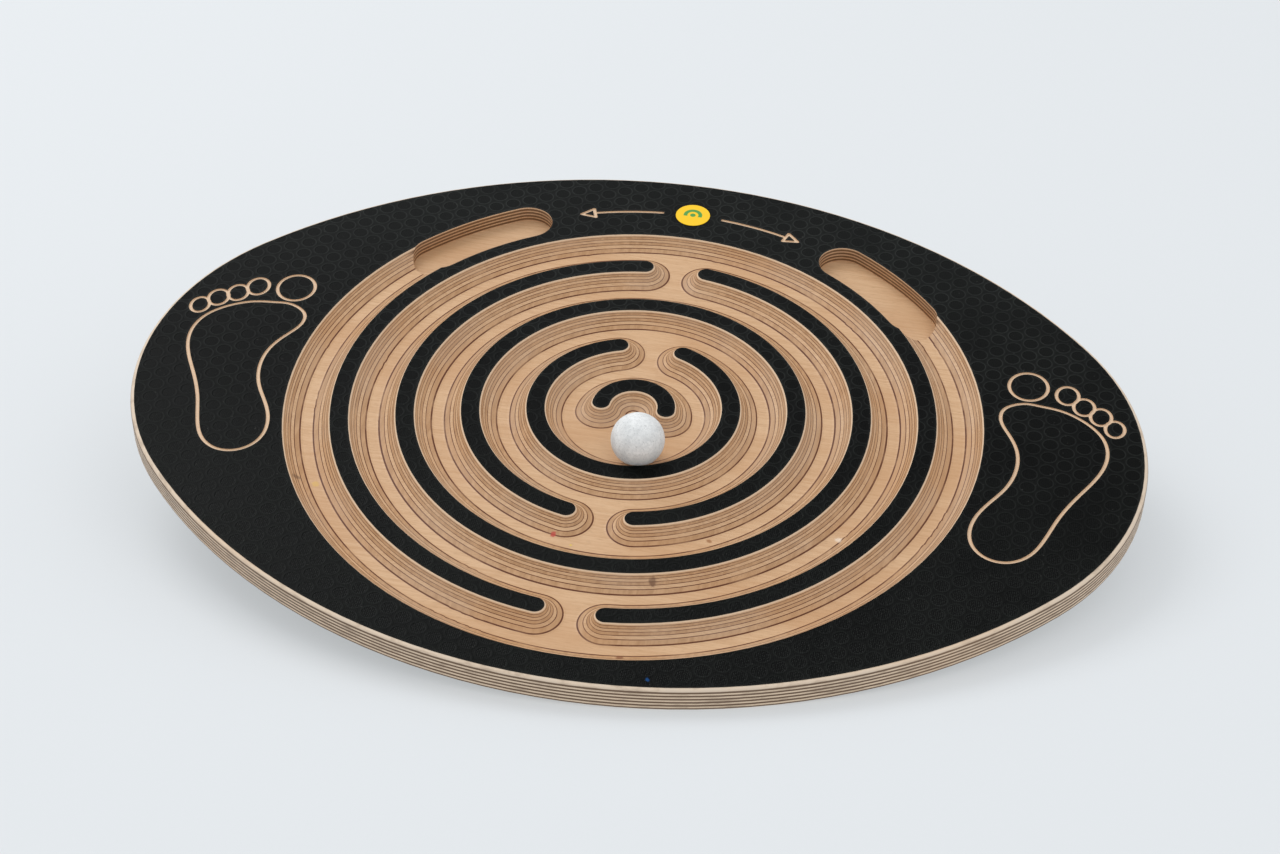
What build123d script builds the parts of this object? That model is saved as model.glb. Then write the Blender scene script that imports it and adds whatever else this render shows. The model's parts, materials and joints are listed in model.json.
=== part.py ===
from build123d import *
import os
from math import asin, atan2, cos, degrees, radians, sin, sqrt

# Tilting ball maze: an oval plywood board that rocks on a half ball, with a ball in milled ring grooves.
#
# Everything on the board is drawn level, with the maze centre at the origin and the top face at z = 0.
# stand() then carries it to the row's frame: origin on the floor under the rocker, +Z up, and the
# board leaning over until its front rim rests on the floor. Millimetres throughout.

# Board
half_length = 392.0          # half the oval's long axis
half_width = 293.4           # half its short axis
end_radius = 212.5           # arcs at the two long ends
edge_round = 3.0             # rounded top and bottom edges
thickness = 21.0             # over both films
film = 0.4                   # phenolic film on each face
back_film_inset = 5.5        # the back film stops short of the rounded edge
end_x = half_length - end_radius
side_radius = (end_radius**2 - end_x**2 - half_width**2) / (2 * (end_radius - half_width))
side_y = side_radius - half_width

# Grooves: one cutter, run at even steps of radius
pitch = 50.0                 # from one groove centre line to the next
groove_half = 18.0           # half width at the top
cutter_radius = 20.5
cutter_height = 10.1         # height of the cutter's centre above the top face
floor_z = -10.2              # flat floor of every groove
chamfer_depth = 1.0          # level where the chamfered wood edge meets the round flank
wall_count = 5
gate_half = 18.5             # half the gap between two wall tips
inner_half_pitch = 24.7      # the innermost wall stands between the well and the first groove
inner_wall_radius = 25.3

# Ball slots, each with room for three balls
slot_radius = 249.6
slot_half = 20.4
slot_floor_z = -13.7
slot_low_angle = 38.5        # centre of the lower round end
slot_high_angle = 57.9       # centre of the upper round end
wall_end_angle = 60.5        # where the outermost wall meets the rim

# Engraved lines, badge and ball
line_width = 2.8
engrave_z = -1.1             # bottom of the engraved lines
mark_radius = 249.0          # the arrows and the badge lie on this circle
badge_radius = 14.3
badge_thickness = 0.3
ball_radius = 20.4
clearance = 0.3              # between pieces that move past each other

# Rocker and foot
tilt_deg = 13.5              # lean of the board when its rim is on the floor
tilt_axis_angle = 14.0       # direction of the tilt axis, from +X
downhill_angle = tilt_axis_angle - 90.0
ball_angle = downhill_angle + 1.3    # the ball has come to rest just beside the lowest point
dome_radius = 62.0
flange_radius = 86.0
flange_thickness = 8.0
screw_circle_radius = 75.0
screw_count = 6
screw_start_angle = 30.0
screw_radius = 2.0
screw_head_radius = 4.0
screw_head_depth = 2.2
screw_length = 14.0
foot_radius = 56.0
foot_base_height = 5.0       # upright band round the foot, below its cone
foot_height = 22.0
foot_top_radius = 48.0
foot_edge_round = 2.5

above = 2.0                  # how far cutting solids stand out of what they cut
far = 600.0                  # further out than any part of the board


# ---------------------------------------------------------------- outlines and faces

def oval(inset=0.0):
    """The board's four-arc oval, moved inwards by inset."""
    join = degrees(atan2(side_y, end_x))
    arcs = [
        CenterArc((end_x, 0), end_radius - inset, -join, 2 * join),
        CenterArc((0, -side_y), side_radius - inset, join, 180 - 2 * join),
        CenterArc((-end_x, 0), end_radius - inset, 180 - join, 2 * join),
        CenterArc((0, side_y), side_radius - inset, 180 + join, 180 - 2 * join),
    ]
    return make_face(Wire(arcs))


def rim_reach(angle):
    """How far the oval reaches in the given direction, measured square to it, on its long sides."""
    return side_radius - side_y * abs(sin(radians(angle)))


def polar(radius, angle):
    return (radius * cos(radians(angle)), radius * sin(radians(angle)))


def wedge(start, end):
    """A slice of the plane between two directions, up to 180 degrees apart."""
    middle = (start + end) / 2
    corners = [(0, 0), polar(far, start), polar(2 * far, middle), polar(far, end)]
    return make_face(Polyline(*corners, close=True))


def annulus(inner, outer):
    return Circle(outer) - Circle(inner)


def cutter_half_width(z):
    """Half width of a groove at height z, on its round flanks."""
    return sqrt(cutter_radius**2 - (cutter_height - z) ** 2)


def flank(centre, side, floor):
    """The groove flank on one side of a groove centred at x = centre, from its top edge down."""
    top = (centre + side * groove_half, -film)
    start = (centre + side * cutter_half_width(-chamfer_depth), -chamfer_depth)
    middle_z = (floor - chamfer_depth) / 2
    middle = (centre + side * cutter_half_width(middle_z), middle_z)
    end = (centre + side * cutter_half_width(floor), floor)
    return [Line(top, start), ThreePointArc(start, middle, end)]


def wall_face(half_pitch):
    """Section of a wall between two grooves that lie half_pitch to its left and right."""
    left = flank(-half_pitch, 1, floor_z)
    right = flank(half_pitch, -1, floor_z)
    top = Line(left[0] @ 0, right[0] @ 0)
    bottom = Line(left[1] @ 1, right[1] @ 1)
    return make_face(Wire([top] + right + [bottom] + left))


def cap_face(half_pitch):
    """The right half of a wall's section, which is turned to make its round end."""
    right = flank(half_pitch, -1, floor_z)
    top = Line((0, -film), right[0] @ 0)
    bottom = Line((0, floor_z), right[1] @ 1)
    middle = Line((0, -film), (0, floor_z))
    return make_face(Wire([top] + right + [bottom, middle]))


def cleared_face(groove):
    """Section of all that lies inside the outer flank of the given groove."""
    outer = flank(groove, 1, floor_z)
    rim = Polyline(outer[0] @ 0, (groove + groove_half, above), (0, above), (0, floor_z - above))
    rim += Polyline((0, floor_z - above), (groove + cutter_half_width(floor_z), floor_z - above))
    rim += Line((groove + cutter_half_width(floor_z), floor_z - above), outer[1] @ 1)
    return make_face(Wire(list(rim.edges()) + outer))


def turned(face, start, end):
    """The solid that an XZ face sweeps about the maze's axis between two directions."""
    return Rot(0, 0, start) * revolve(Plane.XZ * face, Axis.Z, end - start)


def slab(face, low, high):
    return Pos(0, 0, low) * extrude(face, high - low)


# ---------------------------------------------------------------- maze

def gate_angle(radius):
    """Half angle, from the gate's middle to the centre of a wall's round end."""
    return degrees(asin((gate_half + pitch / 2 - groove_half) / radius))


def wall_span(number):
    """Start and end direction of a ring wall: gates alternate between back and front."""
    if number == 0:
        return 0.0, 180.0
    middle = 90.0 if number % 2 else -90.0
    half = gate_angle(pitch * number + pitch / 2)
    return middle + half, middle + 360.0 - half


def wall_size(number):
    """Centre radius and half pitch of a ring wall."""
    if number == 0:
        return inner_wall_radius, inner_half_pitch
    return pitch * number + pitch / 2, pitch / 2


def ring_wall(number):
    radius, half_pitch = wall_size(number)
    start, end = wall_span(number)
    wall = turned(Pos(radius, 0) * wall_face(half_pitch), start, end)
    cap = revolve(Plane.XZ * cap_face(half_pitch), Axis.Z, 180)
    wall += Rot(0, 0, start) * Pos(radius, 0, 0) * Rot(0, 0, 180) * cap
    wall += Rot(0, 0, end) * Pos(radius, 0, 0) * cap
    return wall


def ring_film(number):
    radius, half_pitch = wall_size(number)
    start, end = wall_span(number)
    half = half_pitch - groove_half
    ring = annulus(radius - half, radius + half)
    if end - start > 180:
        ring -= wedge(end - 360, start)
    else:
        ring &= wedge(start, end)
    for angle in (start, end):
        ring += Pos(*polar(radius, angle)) * Circle(half)
    return slab(ring, -film, 0)


def slot_face():
    """Plan of the right-hand ball slot."""
    plan = annulus(slot_radius - slot_half, slot_radius + slot_half)
    plan &= wedge(slot_low_angle, slot_high_angle)
    for angle in (slot_low_angle, slot_high_angle):
        plan += Pos(*polar(slot_radius, angle)) * Circle(slot_half)
    return plan


def outer_wall_right():
    """The right half of the outermost wall, from its tip at the front gate to the rim."""
    radius, half_pitch = wall_size(wall_count - 1)
    tip = -90 + gate_angle(radius)
    wall = turned(Pos(radius, 0) * wall_face(half_pitch), tip, slot_low_angle)
    cap = revolve(Plane.XZ * cap_face(half_pitch), Axis.Z, 180)
    wall += Rot(0, 0, tip) * Pos(radius, 0, 0) * Rot(0, 0, 180) * cap
    inner = flank(pitch * (wall_count - 1), 1, floor_z)
    beside = Polyline(inner[0] @ 0, (slot_radius, -film), (slot_radius, floor_z), inner[1] @ 1)
    beside_slot = make_face(Wire(list(beside.edges()) + inner))
    wall += turned(beside_slot, slot_low_angle, wall_end_angle)
    return wall - slab(slot_face(), floor_z - above, above)


def rim_right(end):
    """A quarter of the upper plies outside the maze; end is 1 for the back and -1 for the front."""
    quarter = Pos(far / 2, end * far / 2) * Rectangle(far, far)
    rim = slab(oval(), floor_z, -film)
    rim = fillet(rim.edges().group_by(Axis.Z)[-1], edge_round)
    rim &= slab(quarter, floor_z - above, above)
    rim -= turned(cleared_face(pitch * wall_count), -90 - above, slot_low_angle)
    rim -= slab(Circle(slot_radius) & wedge(slot_low_angle, wall_end_angle), floor_z - above, above)
    rim -= turned(cleared_face(pitch * (wall_count - 1)), wall_end_angle, 90 + above)
    rim -= slab(slot_face(), floor_z - above, above)
    for mark in marks_right():
        rim -= slab(mark, engrave_z, above)
    return rim


# ---------------------------------------------------------------- engraved marks

def outline_of(face):
    """A line of the engraving's width along a face's border."""
    return offset(face, line_width / 2) - offset(face, -line_width / 2)


def sole_face(shift):
    """The sole's outline, moved inwards by shift and drawn as a chain of short arcs."""
    points = [
        (301, 66), (286.5, 63), (278.5, 55), (277.5, 44), (285, 28), (293, 10), (294.5, -12),
        (288, -35), (276, -56), (268, -78), (270.5, -99), (283, -111), (298, -112), (311, -103.5),
        (321, -85), (330, -58), (343, -30), (356, -4), (360.5, 18), (356, 37), (341, 53.5),
        (320, 63.5),
    ]
    curve = Spline(*points, periodic=True)
    steps = 4 * len(points)
    moved = []
    for step in range(steps):
        at = curve @ (step / steps)
        way = curve % (step / steps)
        moved.append((at.X - shift * way.Y, at.Y + shift * way.X))
    moved.append(moved[0])
    return make_face(Wire([ThreePointArc(*moved[i:i + 3]) for i in range(0, steps, 2)]))


def footprint_right():
    """Outline drawing of a right foot, as one face for the sole and one for each toe."""
    toes = [
        ((295, 86.5), 15.0, 16.3),
        ((325.5, 82), 8.6, 10.6),
        ((339, 71), 8.0, 9.8),
        ((352.5, 62), 8.0, 9.8),
        ((364, 50), 7.3, 9.4),
    ]
    half = line_width / 2
    drawing = [sole_face(-half) - sole_face(half)]
    for centre, x_radius, y_radius in toes:
        ring = Ellipse(x_radius + half, y_radius + half) - Ellipse(x_radius - half, y_radius - half)
        drawing.append(Pos(*centre) * ring)
    return drawing


def arrow_right():
    """A curved arrow with an open triangular head, pointing away from the badge."""
    shaft_start, shaft_end, tip = 84.4, 71.1, 68.5
    head_half = 5.6
    shaft = annulus(mark_radius - line_width / 2, mark_radius + line_width / 2)
    shaft &= wedge(shaft_end, shaft_start)
    corners = [
        polar(mark_radius, tip),
        polar(mark_radius + head_half, shaft_end),
        polar(mark_radius - head_half, shaft_end),
    ]
    return [shaft, outline_of(make_face(Polyline(*corners, close=True)))]


def marks_right():
    return footprint_right() + arrow_right()


# ---------------------------------------------------------------- plies and films

def lower_plies():
    plate = slab(oval(), film - thickness, slot_floor_z)
    plate = fillet(plate.edges().group_by(Axis.Z)[0], edge_round)
    return plate - screws()


def middle_plies():
    plan = oval() - slot_face()
    plan -= mirror(slot_face(), Plane.YZ)
    return slab(plan, slot_floor_z, floor_z)


def outer_film():
    """The film outside the maze, in one sheet with the film on the outermost wall."""
    radius, half_pitch = wall_size(wall_count - 1)
    half = half_pitch - groove_half
    centre = pitch * wall_count
    groove = annulus(centre - groove_half, centre + groove_half)
    groove -= wedge(slot_low_angle, 180 - slot_low_angle)
    gate = annulus(radius - half, radius + half)
    gate &= wedge(-90 - gate_angle(radius), -90 + gate_angle(radius))
    plan = oval(edge_round) - Circle(radius - half)
    plan -= groove
    plan -= gate
    for side in (-1, 1):
        plan += Pos(*polar(radius, -90 + side * gate_angle(radius))) * Circle(half)
    plan -= slot_face()
    plan -= mirror(slot_face(), Plane.YZ)
    sheet = slab(plan, -film, 0)
    for mark in marks_right():
        cut = slab(mark, engrave_z, above)
        sheet -= cut
        sheet -= mirror(cut, Plane.YZ)
    return sheet


def back_film():
    return slab(oval(back_film_inset), -thickness, film - thickness) - screws()


def badge():
    disc = slab(Pos(0, mark_radius) * Circle(badge_radius), 0, badge_thickness)
    return fillet(disc.edges().group_by(Axis.Z)[-1], badge_thickness / 3)


# ---------------------------------------------------------------- rocker, foot and ball

def countersunk(length):
    """A countersunk head and its shank, with the head's face at z = 0."""
    profile = Polyline(
        (0, 0),
        (screw_head_radius, 0),
        (screw_radius, screw_head_depth),
        (screw_radius, length),
        (0, length),
        close=True,
    )
    return revolve(Plane.XZ * make_face(profile), Axis.Z, 360)


def round_flange(shape):
    """Copies of a shape drawn at z = 0, spread round the rocker's flange on its lower face."""
    places = PolarLocations(screw_circle_radius, screw_count, start_angle=screw_start_angle)
    level = -thickness - flange_thickness
    return Compound([Pos(0, 0, level) * place * shape for place in places])


def screws():
    """The wood screws that hold the rocker, with their cross slots facing down."""
    point_length = 3.0
    point_radius = 0.8
    shank_length = screw_length - point_length
    slot_length = 1.1 * screw_head_radius
    slot_width = 0.45 * screw_radius
    slot_depth = 0.55 * screw_head_depth
    cross = Rectangle(slot_length, slot_width) + Rectangle(slot_width, slot_length)
    point = Pos(0, 0, shank_length + point_length / 2) * Cone(screw_radius, point_radius, point_length)
    return round_flange(countersunk(shank_length) + point - slab(cross, -above, slot_depth))


def rocker_dome():
    """Turned half ball with a flange, seated on the board's underside."""
    corner_radius = 6.0
    flange_round = 2.5
    half_ball = Sphere(dome_radius) & slab(Circle(far), -dome_radius - above, 0)
    flange = slab(Circle(flange_radius), -flange_thickness, 0)
    flange = fillet(flange.edges().group_by(Axis.Z)[0], flange_round)
    body = half_ball + flange
    circles = body.edges().filter_by(GeomType.CIRCLE)
    corner = [e for e in circles if abs(e.center().Z + flange_thickness) < 0.01 and e.radius < dome_radius]
    body = fillet(corner, corner_radius)
    holes = round_flange(countersunk(flange_thickness + above))
    return Pos(0, 0, -thickness) * body - holes


def rubber_foot(pivot_height):
    """Rubber foot on the floor, with a dish that the rocker turns in."""
    profile = Polyline(
        (0, 0),
        (foot_radius, 0),
        (foot_radius, foot_base_height),
        (foot_top_radius, foot_height),
        (0, foot_height),
        close=True,
    )
    body = revolve(Plane.XZ * make_face(profile), Axis.Z, 360)
    body -= Pos(0, 0, pivot_height) * Sphere(dome_radius + clearance)
    circles = body.edges().filter_by(GeomType.CIRCLE)
    raised = [e for e in circles if e.radius > foot_top_radius - 1 and e.center().Z > 1]
    return fillet(raised, foot_edge_round)


def ball():
    level = floor_z + clearance + ball_radius
    return Pos(*polar(pitch, ball_angle), level) * Sphere(ball_radius)


# ---------------------------------------------------------------- row frame

def lean_height():
    """Height of the tilt centre that lets the rounded front rim just touch the floor."""
    reach = rim_reach(downhill_angle) - edge_round
    rise = film + edge_round
    return reach * sin(radians(tilt_deg)) - rise * cos(radians(tilt_deg)) + edge_round


pivot_height = lean_height()
tilt_axis = Axis((0, 0, pivot_height), (*polar(1, tilt_axis_angle), 0))


def stand(shape):
    """Carry a shape from the level board's frame to the row's frame."""
    return (Pos(0, 0, pivot_height + thickness) * shape).rotate(tilt_axis, tilt_deg)


nodes = {
    "lower_plies": lower_plies(),
    "middle_plies": middle_plies(),
    "rim_front_right": rim_right(-1),
    "rim_back_right": rim_right(1),
    "maze_wall_4_right": outer_wall_right(),
    "grip_film_outer": outer_film(),
    "back_film": back_film(),
    "badge": badge(),
    "rocker_dome": rocker_dome(),
    "rocker_screws": screws(),
    "ball": ball(),
}
for name in ("rim_front", "rim_back", "maze_wall_4"):
    nodes[f"{name}_left"] = mirror(nodes[f"{name}_right"], Plane.YZ)
for ring in range(wall_count - 1):
    nodes[f"maze_wall_{ring}"] = ring_wall(ring)
    nodes[f"grip_film_{ring}"] = ring_film(ring)

nodes = {name: stand(shape) for name, shape in nodes.items()}
nodes["rubber_foot"] = rubber_foot(pivot_height)

os.makedirs("parts", exist_ok=True)
for name, shape in nodes.items():
    export_step(shape, f"parts/{name}.step")

print(f"tilt centre {pivot_height:.3f} mm above the floor, {len(nodes)} nodes")
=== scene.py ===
import json
import math

import bmesh
import bpy
from mathutils import Matrix, Vector
from mathutils.bvhtree import BVHTree
from mathutils.geometry import delaunay_2d_cdt
from mathutils.kdtree import KDTree


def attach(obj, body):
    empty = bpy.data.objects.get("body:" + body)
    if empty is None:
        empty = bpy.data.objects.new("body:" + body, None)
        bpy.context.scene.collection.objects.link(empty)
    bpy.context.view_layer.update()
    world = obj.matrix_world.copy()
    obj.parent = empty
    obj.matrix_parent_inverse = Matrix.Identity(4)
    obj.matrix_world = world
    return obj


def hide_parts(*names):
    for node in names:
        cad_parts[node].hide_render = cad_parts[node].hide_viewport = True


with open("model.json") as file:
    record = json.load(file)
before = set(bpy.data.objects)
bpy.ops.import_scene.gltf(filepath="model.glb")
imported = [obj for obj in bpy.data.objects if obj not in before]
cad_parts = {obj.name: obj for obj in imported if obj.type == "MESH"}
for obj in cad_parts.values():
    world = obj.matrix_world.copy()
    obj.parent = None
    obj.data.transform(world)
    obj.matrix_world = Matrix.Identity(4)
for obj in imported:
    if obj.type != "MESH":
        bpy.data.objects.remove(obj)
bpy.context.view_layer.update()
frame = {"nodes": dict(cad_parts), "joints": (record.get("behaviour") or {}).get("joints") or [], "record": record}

# ---------------------------------------------------------------- the board's own frame
# The board leans about the tilt joint. Everything on it is worked out level, with the maze's centre
# at the origin and the top face at z = 0, and board_to_row carries it into the row's frame.

MM = 0.001
UP = Vector((0, 0, 1))
THICKNESS = 21.0 * MM
FILM = 0.4 * MM
PLY_COUNT = 13
PLY = (THICKNESS - 2 * FILM) / PLY_COUNT
HALF_LENGTH = 392.0 * MM
HALF_WIDTH = 293.4 * MM

joints = {joint["name"]: joint for joint in frame["joints"]}
tilt = joints["board_tilt"]
lean = math.radians(tilt["range_deg"][1]) / 2
pivot = Vector(tilt["pos_m"])
lean_rotation = Matrix.Rotation(-lean, 4, Vector(tilt["axis"]))
board_to_row = Matrix.Translation(pivot) @ lean_rotation @ Matrix.Translation((0, 0, THICKNESS))

# ---------------------------------------------------------------- driving dimensions

# Maze and badge
CHAMFER_Z = -1.0 * MM        # the cut wood is painted paler above this level, a painted highlight on chamfered edges and engraved lines
FLOOR_Z = -10.2 * MM         # floor of the grooves
SLOT_FLOOR_Z = -13.7 * MM
SLOT_INNER_RADIUS = 229.0 * MM
SLOT_LOWEST_Y = 153.0 * MM
BADGE_Y = 249.0 * MM
BADGE_RING_RADIUS = 6.2 * MM
BADGE_DOT_RADIUS = 2.3 * MM

# The film's pattern, in millimetres: a honeycomb of round cells with small dots on their floors
CELL_PITCH = 14.6
CELL_START = Vector((-49.4, 263.1))
CELL_PROFILE = ((5.1, -0.24), (5.6, -0.05), (6.0, 0.0), (6.5, -0.09))    # radius and height
CELL_SIDES = 24
FIELD_LEVEL = -0.11          # between the cells
DOT_STEP = 1.0
DOT_HEIGHT = 0.19
BORDER = 0.45                # no pattern nearer to the film's edge than this
FADE = 1.6                   # full pattern from here on
TOP_TOLERANCE = 0.02         # a vertex this close to z = 0 is on the top face

# Marks of use, with places and radii in millimetres. On wood: x, y, radius, colour, strength.
WOOD_MARKS = (
    (-31.0, -142.0, 4.0, (0.46, 0.05, 0.035, 1), 0.85),
    (-16.0, -149.5, 1.8, (0.70, 0.52, 0.03, 1), 0.75),
    (-217.0, -125.0, 5.0, (0.66, 0.42, 0.08, 1), 0.5),
    (51.0, -179.0, 5.0, (0.12, 0.05, 0.025, 1), 0.65),
    (42.0, -254.4, 4.5, (0.20, 0.07, 0.03, 1), 0.75),
    (82.0, -124.4, 3.2, (0.30, 0.12, 0.04, 1), 0.8),
    (-231.0, -124.0, 5.0, (0.12, 0.06, 0.03, 1), 0.6),
    (174.0, -104.0, 5.0, (0.80, 0.66, 0.52, 1), 0.8),
)
# On film: x, y, radius, raggedness, colour.
FILM_MARKS = (
    (66.5, -278.3, 2.8, 0.6, (0.008, 0.05, 0.16, 1)),
    (88.3, -94.9, 2.4, 1.4, (0.02, 0.16, 0.06, 1)),
)


# ---------------------------------------------------------------- node tree helpers

class Tree:
    """A material's node tree, with short calls for adding and joining nodes."""

    def __init__(self, name):
        self.material = bpy.data.materials.new(name)
        self.material.use_nodes = True
        self.tree = self.material.node_tree
        self.shader = self.tree.nodes["Principled BSDF"]

    def set(self, socket, value):
        if isinstance(value, bpy.types.NodeSocket):
            self.tree.links.new(value, socket)
        else:
            socket.default_value = value

    def node(self, kind, inputs=None, **settings):
        node = self.tree.nodes.new(kind)
        for key, value in settings.items():
            setattr(node, key, value)
        for key, value in (inputs or {}).items():
            self.set(node.inputs[key], value)
        return node

    def math(self, operation, *values):
        node = self.node("ShaderNodeMath", operation=operation)
        for socket, value in zip(node.inputs, values):
            self.set(socket, value)
        return node.outputs[0]

    def product(self, *values):
        result = values[0]
        for value in values[1:]:
            result = self.math("MULTIPLY", result, value)
        return result

    def map_range(self, value, low, high, to_low=0.0, to_high=1.0):
        node = self.node("ShaderNodeMapRange", interpolation_type="SMOOTHSTEP")
        for socket, given in zip(node.inputs, (value, low, high, to_low, to_high)):
            self.set(socket, given)
        return node.outputs[0]

    def mix(self, share, first, second):
        node = self.node("ShaderNodeMix", data_type="RGBA")
        self.set(node.inputs["Factor"], share)
        self.set(node.inputs[6], first)
        self.set(node.inputs[7], second)
        return node.outputs[2]

    def noise(self, vector, scale, detail=3.0, roughness=0.5):
        """Noise with its own number of features per metre along each axis, or the same along all."""
        if isinstance(scale, tuple):
            mapping = self.node("ShaderNodeMapping", {"Vector": vector})
            mapping.inputs["Scale"].default_value = scale
            vector = mapping.outputs[0]
            scale = 1.0
        inputs = {"Vector": vector, "Scale": scale, "Detail": detail, "Roughness": roughness}
        return self.node("ShaderNodeTexNoise", inputs).outputs["Fac"]

    def vector_math(self, operation, *values):
        node = self.node("ShaderNodeVectorMath", operation=operation)
        for socket, value in zip(node.inputs, values):
            self.set(socket, value)
        return node.outputs["Value"] if operation == "LENGTH" else node.outputs[0]

    def board_point(self):
        """Position in the level board's frame, which stays with the board as it tilts."""
        position = self.node("ShaderNodeTexCoord").outputs["Object"]
        mapping = self.node("ShaderNodeMapping", {"Vector": position}, vector_type="TEXTURE")
        mapping.inputs["Location"].default_value = board_to_row.to_translation()
        mapping.inputs["Rotation"].default_value = board_to_row.to_euler("XYZ")
        return mapping.outputs[0]

    def reach(self, point, x=0.0, y=0.0):
        """Distance in plan from an upright line on the board."""
        away = self.vector_math("SUBTRACT", point, (x, y, 0))
        return self.vector_math("LENGTH", self.vector_math("MULTIPLY", away, (1, 1, 0)))

    def spot(self, point, x, y, radius, ragged=0.6):
        """A ragged round patch on the board, in millimetres: 1 inside, 0 outside."""
        uneven = self.math("MULTIPLY", self.noise(point, 260.0), 2 * ragged * radius * MM)
        reach = self.math("ADD", self.reach(point, x * MM, y * MM), uneven)
        return self.map_range(reach, 0.9 * radius * MM, 1.3 * radius * MM, 1.0, 0.0)

    def split(self, vector):
        node = self.node("ShaderNodeSeparateXYZ", {"Vector": vector})
        return node.outputs[0], node.outputs[1], node.outputs[2]

    def bump(self, height, strength, distance):
        inputs = {"Height": height, "Strength": strength, "Distance": distance}
        node = self.node("ShaderNodeBump", inputs)
        self.set(self.shader.inputs["Normal"], node.outputs[0])

    def finish(self, color, roughness, **shader_values):
        self.set(self.shader.inputs["Base Color"], color)
        self.set(self.shader.inputs["Roughness"], roughness)
        for key, value in shader_values.items():
            self.shader.inputs[key.replace("_", " ")].default_value = value
        return self.material


# ---------------------------------------------------------------- materials

def rim_nearness(t, x, y):
    """0 well inside the board, 1 at its rim."""
    across = t.math("POWER", t.math("DIVIDE", x, HALF_LENGTH), 2.0)
    along = t.math("POWER", t.math("DIVIDE", y, HALF_WIDTH), 2.0)
    return t.map_range(t.math("ADD", across, along), 0.93, 0.965)


def ply_level(t, point, z):
    """Number of plies below the top film, a little wavy: a whole part and a rest."""
    wander = t.noise(point, (9, 9, 9), 2.0)
    wobble = t.math("MULTIPLY", t.math("SUBTRACT", wander, 0.5), 0.12 * MM)
    depth = t.math("ADD", t.math("MULTIPLY", z, -1.0), wobble)
    return t.math("DIVIDE", t.math("SUBTRACT", depth, FILM), PLY)


def bare_plies(t, point, odd):
    """Birch with its grain along the board, and across it in the odd plies; also the grain's heights."""
    along_x = t.noise(point, (30, 520, 240), 5.0, 0.75)
    along_y = t.noise(point, (260, 14, 140), 4.0, 0.6)
    pores = t.noise(point, (160, 1400, 600), 2.0)
    light = t.mix(t.map_range(along_x, 0.35, 0.68), (0.655, 0.425, 0.245, 1), (0.56, 0.34, 0.182, 1))
    dark = t.mix(t.map_range(along_y, 0.3, 0.7), (0.55, 0.33, 0.175, 1), (0.42, 0.235, 0.115, 1))
    wood = t.mix(odd, light, dark)
    wood = t.mix(t.map_range(pores, 0.55, 0.75, 0.0, 0.3), wood, (0.26, 0.14, 0.065, 1))
    cloud = t.noise(point, (6, 14, 6))
    wood = t.mix(t.map_range(cloud, 0.38, 0.68, 0.0, 0.5), wood, (0.50, 0.265, 0.12, 1))
    return wood, along_x, pores


def glue_lines(t, point, level, wood):
    """A dark line between each ply and the next."""
    phase = t.math("FRACT", level)
    edge = t.math("ABSOLUTE", t.math("SUBTRACT", phase, 0.5))
    patchy = t.map_range(t.noise(point, (40, 40, 40)), 0.3, 0.55, 0.6, 1.0)
    return t.mix(t.product(t.map_range(edge, 0.395, 0.42), patchy), wood, (0.105, 0.026, 0.005, 1))


def milled_wood(t, point, z, wood):
    """Groove flanks a little grey with use, and the chamfered edges and engraved lines painted paler as a painted
    highlight.
    """
    wear_and_highlight = t.map_range(t.noise(point, (11, 11, 30)), 0.42, 0.62, 0.0, 0.22)
    flank = t.map_range(z, FLOOR_Z + 0.3 * MM, FLOOR_Z + 1.2 * MM)
    wood = t.mix(t.product(flank, wear_and_highlight), wood, (0.50, 0.37, 0.27, 1))
    # painted highlight: the chamfered edges and engraved lines are painted paler than the wood
    edge_highlight = t.map_range(z, CHAMFER_Z - 0.4 * MM, CHAMFER_Z, 0.0, 0.75)
    return t.mix(edge_highlight, wood, (0.78, 0.58, 0.40, 1))


def slot_wall_shade(t, point, y, z, odd, wood):
    """The odd plies in the upright walls of the ball slots are painted darker, as painted shade on these walls."""
    outside = t.map_range(t.reach(point), SLOT_INNER_RADIUS - 3 * MM, SLOT_INNER_RADIUS - 1 * MM)
    beyond = t.map_range(y, SLOT_LOWEST_Y - 3 * MM, SLOT_LOWEST_Y + 3 * MM)
    standing = t.map_range(z, SLOT_FLOOR_Z + 0.2 * MM, SLOT_FLOOR_Z + 0.5 * MM)
    # painted shade: darkens the odd plies of the slot walls
    return t.mix(t.product(outside, beyond, standing, odd, 0.85), wood, (0.13, 0.066, 0.03, 1))


def rim_wood(t, point, z, rim, odd, wood):
    """The bare rim: strong stripes, some grime, and a pale band along its top that is a painted highlight on the
    rounded edge.
    """
    even = t.math("SUBTRACT", 1.0, odd)
    wood = t.mix(t.product(rim, even, 0.85), wood, (0.74, 0.59, 0.44, 1))
    wood = t.mix(t.product(rim, odd, 0.9), wood, (0.105, 0.066, 0.04, 1))
    dirt = t.noise(point, (70, 70, 300), 4.0, 0.6)
    wood = t.mix(t.product(rim, t.map_range(dirt, 0.45, 0.72, 0.0, 0.5)), wood, (0.18, 0.12, 0.08, 1))
    # painted highlight: a pale band along the rounded top edge, broken up by noise
    top_edge = t.product(rim, t.map_range(z, -2.6 * MM, -1.6 * MM))
    wear_and_highlight = t.product(top_edge, t.map_range(dirt, 0.35, 0.62, 0.85, 0.25))
    return t.mix(wear_and_highlight, wood, (0.66, 0.54, 0.42, 1))


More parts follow.
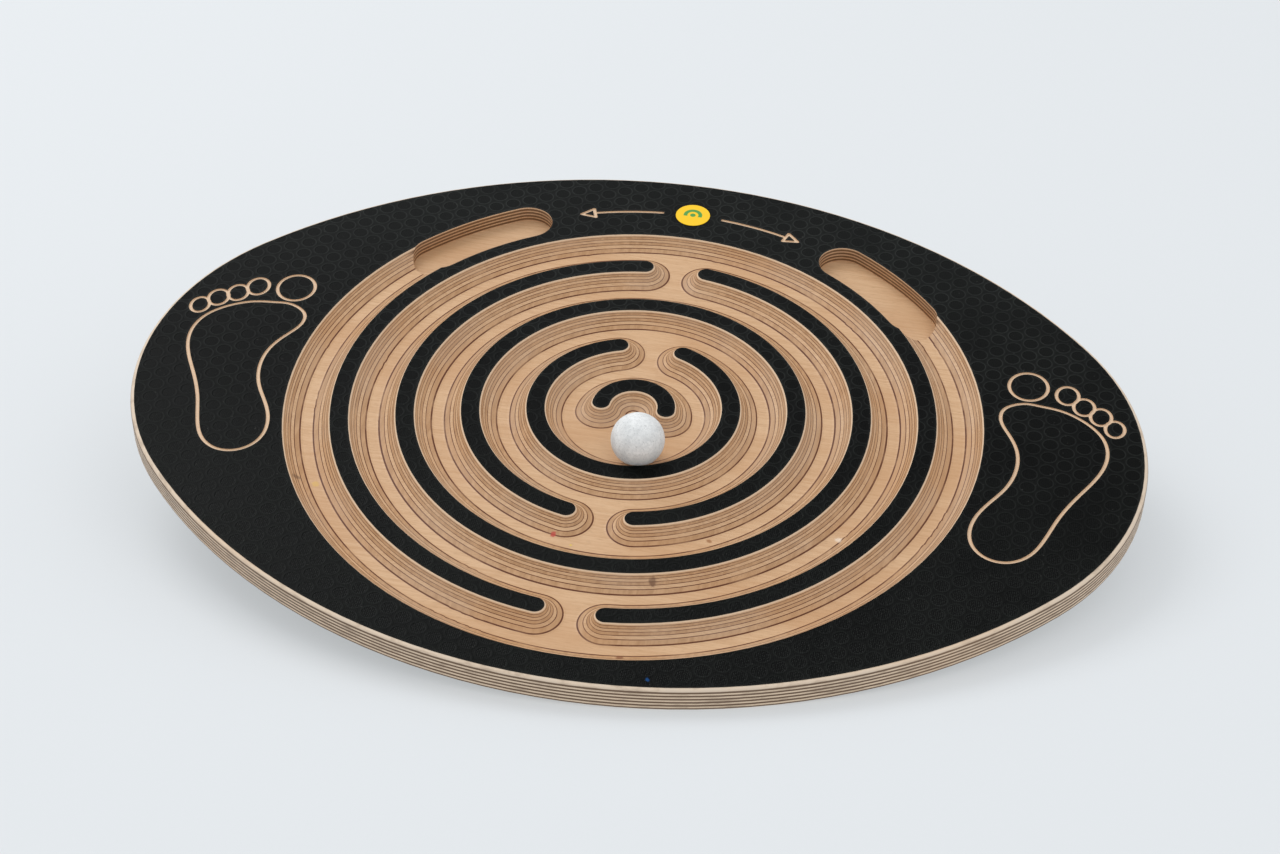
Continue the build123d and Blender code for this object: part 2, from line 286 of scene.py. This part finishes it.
def plywood():
    """Birch plywood: plies by height in the board, glue lines between them, and the marks of use."""
    t = Tree("plywood")
    point = t.board_point()
    x, y, z = t.split(point)
    level = ply_level(t, point, z)
    odd = t.math("MODULO", t.math("FLOOR", level), 2.0)
    wood, grain, pores = bare_plies(t, point, odd)
    wood = glue_lines(t, point, level, wood)
    wood = milled_wood(t, point, z, wood)
    wood = slot_wall_shade(t, point, y, z, odd, wood)
    wood = rim_wood(t, point, z, rim_nearness(t, x, y), odd, wood)
    for mark_x, mark_y, radius, color, share in WOOD_MARKS:
        wood = t.mix(t.product(t.spot(point, mark_x, mark_y, radius), share), wood, color)
    t.bump(t.math("ADD", grain, t.product(pores, 0.4)), 0.2, 0.3 * MM)
    return t.finish(wood, t.map_range(grain, 0.2, 0.8, 0.42, 0.56), Specular_IOR_Level=0.28)


def film():
    """Black anti-slip film: greyer towards the back as a painted reflection, its ridges rubbed pale and paler
    towards the back, and pale specks at the front that are painted glints on its small dots.
    """
    t = Tree("film")
    point = t.board_point()
    x, y, z = t.split(point)
    cloud = t.noise(point, (22, 22, 22), 4.0)
    color = t.mix(t.map_range(cloud, 0.35, 0.7), (0.0010, 0.0012, 0.0010, 1), (0.0022, 0.0025, 0.0021, 1))
    # painted reflection: the film is painted greyer towards the back
    color = t.mix(t.map_range(y, 0.0, 0.26, 0.0, 0.4), color, (0.0110, 0.0120, 0.0110, 1))

    # the rubbed ridges are painted paler towards the back, also a painted reflection
    ridge = t.mix(t.map_range(y, -0.10, 0.26), (0.0095, 0.0107, 0.0095, 1), (0.0225, 0.0245, 0.0225, 1))
    rubbed = t.product(t.map_range(z, -0.13 * MM, -0.01 * MM), t.map_range(cloud, 0.3, 0.65, 0.35, 1.0))
    color = t.mix(rubbed, color, ridge)

    # painted highlight: pale specks at the front, painted glints on the film's small dots, fuller on the cell
    # floors
    lattice = {"Vector": point, "Scale": 1 / (1.4 * MM), "Randomness": 0.35}
    tip = t.node("ShaderNodeTexVoronoi", lattice, voronoi_dimensions="2D").outputs["Distance"]
    low = t.map_range(z, -0.2 * MM, -0.12 * MM, 1.0, 0.3)
    front = t.map_range(y, -0.20, 0.02, 1.0, 0.1)
    dot_glints = t.product(t.map_range(tip, 0.12, 0.30, 0.8, 0.0), low, front)
    color = t.mix(dot_glints, color, (0.042, 0.045, 0.042, 1))

    dust = t.map_range(t.noise(point, (420, 420, 420), 2.0), 0.69, 0.76, 0.0, 0.5)
    color = t.mix(dust, color, (0.05, 0.05, 0.045, 1))
    for mark_x, mark_y, radius, ragged, mark_color in FILM_MARKS:
        color = t.mix(t.spot(point, mark_x, mark_y, radius, ragged), color, mark_color)
    t.bump(t.noise(point, (900, 900, 900), 2.0), 0.12, 0.08 * MM)
    return t.finish(color, t.map_range(cloud, 0.3, 0.7, 0.40, 0.50), Specular_IOR_Level=0.045)


def badge_finish():
    """Yellow glossy sticker with a plain green arc and dot."""
    t = Tree("badge")
    point = t.vector_math("SUBTRACT", t.board_point(), (0, BADGE_Y, 0))
    x, y, z = t.split(point)
    reach = t.reach(point)
    ring = t.math("ABSOLUTE", t.math("SUBTRACT", reach, BADGE_RING_RADIUS))
    upper = t.map_range(y, -2.0 * MM, -1.6 * MM)
    arc = t.product(t.map_range(ring, 1.5 * MM, 1.7 * MM, 1.0, 0.0), upper)
    dot = t.map_range(reach, BADGE_DOT_RADIUS - 0.1 * MM, BADGE_DOT_RADIUS + 0.1 * MM, 1.0, 0.0)
    flat = t.vector_math("MULTIPLY", point, (1, 1, 0))
    yellow = t.mix(t.noise(flat, (200, 200, 200)), (0.90, 0.52, 0.004, 1), (0.94, 0.58, 0.006, 1))
    color = t.mix(t.math("MAXIMUM", arc, dot), yellow, (0.08, 0.30, 0.05, 1))
    return t.finish(color, 0.35, Specular_IOR_Level=0.3)


def ball_finish():
    """Pale grey mottled ball."""
    t = Tree("ball")
    point = t.node("ShaderNodeTexCoord").outputs["Object"]
    soft = t.noise(point, (120, 120, 120), 4.0)
    mottle = t.noise(point, (420, 420, 420), 4.0, 0.65)
    speck = t.noise(point, (900, 900, 900))
    color = t.mix(t.map_range(soft, 0.3, 0.7), (0.72, 0.725, 0.71, 1), (0.86, 0.86, 0.84, 1))
    color = t.mix(t.map_range(mottle, 0.40, 0.64, 0.0, 0.55), color, (0.62, 0.625, 0.615, 1))
    color = t.mix(t.map_range(speck, 0.58, 0.72, 0.0, 0.5), color, (0.33, 0.335, 0.33, 1))
    t.bump(speck, 0.2, 0.2 * MM)
    return t.finish(color, t.map_range(mottle, 0.3, 0.7, 0.5, 0.65), Specular_IOR_Level=0.25)


def rubber():
    """Black rubber with a fine grain."""
    t = Tree("rubber")
    point = t.node("ShaderNodeTexCoord").outputs["Object"]
    cloud = t.noise(point, (40, 40, 40))
    t.bump(t.noise(point, (1500, 1500, 1500)), 0.3, 0.15 * MM)
    color = t.mix(cloud, (0.014, 0.014, 0.015, 1), (0.026, 0.026, 0.027, 1))
    return t.finish(color, t.map_range(cloud, 0.3, 0.7, 0.6, 0.75))


def rocker_wood():
    """Turned beech: grain along the board and fine short pores."""
    t = Tree("rocker_wood")
    point = t.board_point()
    grain = t.noise(point, (12, 120, 120), 4.0, 0.6)
    fleck = t.noise(point, (180, 1600, 1600), 2.0)
    color = t.mix(t.map_range(grain, 0.3, 0.7), (0.60, 0.38, 0.21, 1), (0.46, 0.27, 0.14, 1))
    color = t.mix(t.map_range(fleck, 0.6, 0.75, 0.0, 0.5), color, (0.26, 0.13, 0.06, 1))
    t.bump(grain, 0.2, 0.3 * MM)
    return t.finish(color, t.map_range(grain, 0.3, 0.7, 0.38, 0.5))


def screw_steel():
    """Zinc plated steel, slightly cloudy."""
    t = Tree("screw_steel")
    cloud = t.noise(t.node("ShaderNodeTexCoord").outputs["Object"], (300, 300, 300))
    color = t.mix(cloud, (0.55, 0.55, 0.54, 1), (0.70, 0.70, 0.68, 1))
    return t.finish(color, t.map_range(cloud, 0.3, 0.7, 0.25, 0.42), Metallic=1.0)


def paint_nodes():
    """Give every CAD node the finish of its material slot."""
    finishes = {
        "plywood": plywood(),
        "film": film(),
        "badge": badge_finish(),
        "rocker_wood": rocker_wood(),
        "screw_steel": screw_steel(),
        "rubber": rubber(),
        "ball": ball_finish(),
    }
    for part in frame["record"]["subparts"]:
        node = frame["nodes"][part["node"]]
        node.data.materials.clear()
        node.data.materials.append(finishes[part["material_slot"]])
    return finishes


# ---------------------------------------------------------------- the film's pressed pattern

def cell_points():
    """Points of one cell about its own centre, with their heights."""
    points = []
    for reach, height in CELL_PROFILE:
        for i in range(CELL_SIDES):
            angle = 2 * math.pi * i / CELL_SIDES
            points.append((reach * math.cos(angle), reach * math.sin(angle), height))
    inner, floor = CELL_PROFILE[0]
    steps = int(inner / DOT_STEP) + 1
    for row in range(-steps, steps + 1):
        for column in range(-steps, steps + 1):
            x = DOT_STEP * (column + row / 2)
            y = DOT_STEP * row * math.sqrt(3) / 2
            if math.hypot(x, y) < inner - DOT_STEP / 2:
                dot = (row - column) % 3 == 0
                points.append((x, y, floor + (DOT_HEIGHT if dot else 0.0)))
    corner = CELL_PITCH / math.sqrt(3)
    for angle in (0, math.pi / 3):
        points.append((corner * math.cos(angle), corner * math.sin(angle), FIELD_LEVEL))
    return points


def pattern_points(low, high):
    """The whole pattern's points between two corners of the level board."""
    column_step = CELL_PITCH * math.sqrt(3) / 2
    cell = cell_points()
    first = math.floor((low.x - CELL_START.x) / column_step)
    last = math.ceil((high.x - CELL_START.x) / column_step)
    for column in range(first, last + 1):
        x = CELL_START.x + column * column_step
        start_y = CELL_START.y + (CELL_PITCH / 2 if column % 2 else 0.0)
        lowest = math.floor((low.y - start_y) / CELL_PITCH)
        highest = math.ceil((high.y - start_y) / CELL_PITCH)
        for row in range(lowest, highest + 1):
            y = start_y + row * CELL_PITCH
            for dx, dy, height in cell:
                yield x + dx, y + dy, height


def border_tree(edges):
    """A tree of closely spaced points along the film's edges, to measure distances from."""
    samples = []
    for edge in edges:
        start, end = (vertex.co for vertex in edge.verts)
        count = max(1, round((end - start).length / (BORDER / 2)))
        samples += [start.lerp(end, i / count) for i in range(count)]
    tree = KDTree(len(samples))
    for i, sample in enumerate(samples):
        tree.insert((sample.x, sample.y, 0), i)
    tree.balance()
    return tree


def lies_on(sheet, x, y):
    """Whether a place on the level board is on the sheet of film."""
    return sheet.ray_cast(Vector((x, y, 0)) + UP, -UP, 2)[0] is not None


def relief_points(sheet, rim, corners):
    """The film's own border points and the pattern's points on it, in plan and with their heights."""
    points = [vertex.co.xy for vertex in corners]
    heights = [vertex.co.z for vertex in corners]
    tree = border_tree(rim)
    low = Vector((min(p.x for p in points), min(p.y for p in points)))
    high = Vector((max(p.x for p in points), max(p.y for p in points)))
    for x, y, height in pattern_points(low, high):
        distance = tree.find((x, y, 0))[2]
        if distance >= BORDER and lies_on(sheet, x, y):
            share = min(1.0, (distance - BORDER) / (FADE - BORDER))
            points.append(Vector((x, y)))
            heights.append(height * share)
    return points, heights


def press_pattern(mesh):
    """Swap a level film's top face for one with the pattern; its walls and its underside stay."""
    top = {face for face in mesh.faces if all(abs(v.co.z) < TOP_TOLERANCE for v in face.verts)}
    rim = [edge for edge in mesh.edges if sum(face in top for face in edge.link_faces) == 1]
    corners = sorted({vertex for edge in rim for vertex in edge.verts}, key=lambda vertex: vertex.index)
    number = {vertex: i for i, vertex in enumerate(corners)}
    lines = [tuple(number[vertex] for vertex in edge.verts) for edge in rim]
    sheet = BVHTree.FromPolygons(
        [vertex.co.copy() for vertex in mesh.verts],
        [[vertex.index for vertex in face.verts] for face in top],
    )
    points, heights = relief_points(sheet, rim, corners)
    flat, _, faces, origin, _, _ = delaunay_2d_cdt(points, lines, [], 1, 1e-5)

    for face in mesh.faces:
        face.smooth = False
    bmesh.ops.delete(mesh, geom=list(top), context="FACES_KEEP_BOUNDARY")
    made = [mesh.verts.new((p.x, p.y, heights[source[0]])) for p, source in zip(flat, origin)]
    for numbers in faces:
        middle = sum((flat[i] for i in numbers), Vector((0, 0))) / len(numbers)
        if lies_on(sheet, middle.x, middle.y):
            face = mesh.faces.new([made[i] for i in numbers])
            face.smooth = True
    bmesh.ops.remove_doubles(mesh, verts=mesh.verts, dist=1e-3)
    for edge in mesh.edges:
        if len({face.smooth for face in edge.link_faces}) > 1:
            edge.smooth = False
    loose = [vertex for vertex in mesh.verts if not vertex.link_faces]
    bmesh.ops.delete(mesh, geom=loose, context="VERTS")


def film_relief(name):
    """A piece that takes the place of a film node and has the pattern pressed into its top."""
    node = frame["nodes"][name]
    to_level = Matrix.Scale(1 / MM, 4) @ board_to_row.inverted()
    mesh = bmesh.new()
    mesh.from_mesh(node.data)
    mesh.transform(to_level @ node.matrix_world)
    bmesh.ops.remove_doubles(mesh, verts=mesh.verts, dist=1e-4)
    bmesh.ops.triangulate(mesh, faces=mesh.faces)
    mesh.verts.index_update()
    press_pattern(mesh)
    mesh.transform(to_level.inverted())
    data = bpy.data.meshes.new(name.replace("grip_film", "grip_relief"))
    mesh.to_mesh(data)
    mesh.free()
    relief = bpy.data.objects.new(data.name, data)
    bpy.context.scene.collection.objects.link(relief)
    relief.data.materials.append(finishes["film"])
    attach(relief, "board")
    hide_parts(name)


# ---------------------------------------------------------------- floor, light and camera

def make_floor():
    """A plain pale floor, with a little light of its own to keep the shadows soft."""
    bpy.ops.mesh.primitive_plane_add(size=24)
    floor = bpy.context.object
    floor.name = "floor"
    material = bpy.data.materials.new("floor")
    material.use_nodes = True
    shader = material.node_tree.nodes["Principled BSDF"]
    shader.inputs["Base Color"].default_value = (0.31, 0.32, 0.33, 1)
    shader.inputs["Roughness"].default_value = 0.9
    shader.inputs["Emission Color"].default_value = (0.95, 0.985, 1.0, 1)
    shader.inputs["Emission Strength"].default_value = 0.44
    floor.data.materials.append(material)


def area_light(name, place, target, size, power):
    data = bpy.data.lights.new(name, "AREA")
    data.shape = "SQUARE"
    data.size = size
    data.energy = power
    light = bpy.data.objects.new(name, data)
    bpy.context.scene.collection.objects.link(light)
    light.location = place
    light.rotation_euler = (Vector(target) - Vector(place)).to_track_quat("-Z", "Y").to_euler()


def make_lights():
    """An even, slightly cool surrounding, a soft key from the back left and a weak fill in front."""
    world = bpy.data.worlds.new("studio")
    bpy.context.scene.world = world
    world.use_nodes = True
    background = world.node_tree.nodes["Background"]
    background.inputs[0].default_value = (0.93, 0.96, 1.0, 1)
    background.inputs[1].default_value = 0.84
    aim = (0, 0, 0.1)
    area_light("key", (-2.1, 1.3, 3.5), aim, 2.6, 70)
    area_light("fill", (1.8, -1.6, 2.2), aim, 2.0, 12)


def make_camera():
    """The camera is placed in the board's frame and carried into the row's."""
    place = Vector((0.298, -1.510, 1.3335))
    looking = Vector((-0.1428, 0.7370, -0.6607)).normalized()
    right = looking.cross(Vector((-0.1377, 0.6462, 0.7506))).normalized()
    up = right.cross(looking)
    turn = Matrix((right, up, -looking)).transposed().to_4x4()
    data = bpy.data.cameras.new("camera")
    data.sensor_width = 36.0
    data.sensor_fit = "HORIZONTAL"
    data.lens = 74.7
    data.clip_end = 50
    camera = bpy.data.objects.new("camera", data)
    bpy.context.scene.collection.objects.link(camera)
    camera.matrix_world = board_to_row @ Matrix.Translation(place) @ turn
    bpy.context.scene.camera = camera


bpy.context.scene.view_settings.view_transform = "Standard"
finishes = paint_nodes()
for part in frame["record"]["subparts"]:
    if part["node"].startswith("grip_film"):
        film_relief(part["node"])
make_floor()
make_lights()
make_camera()
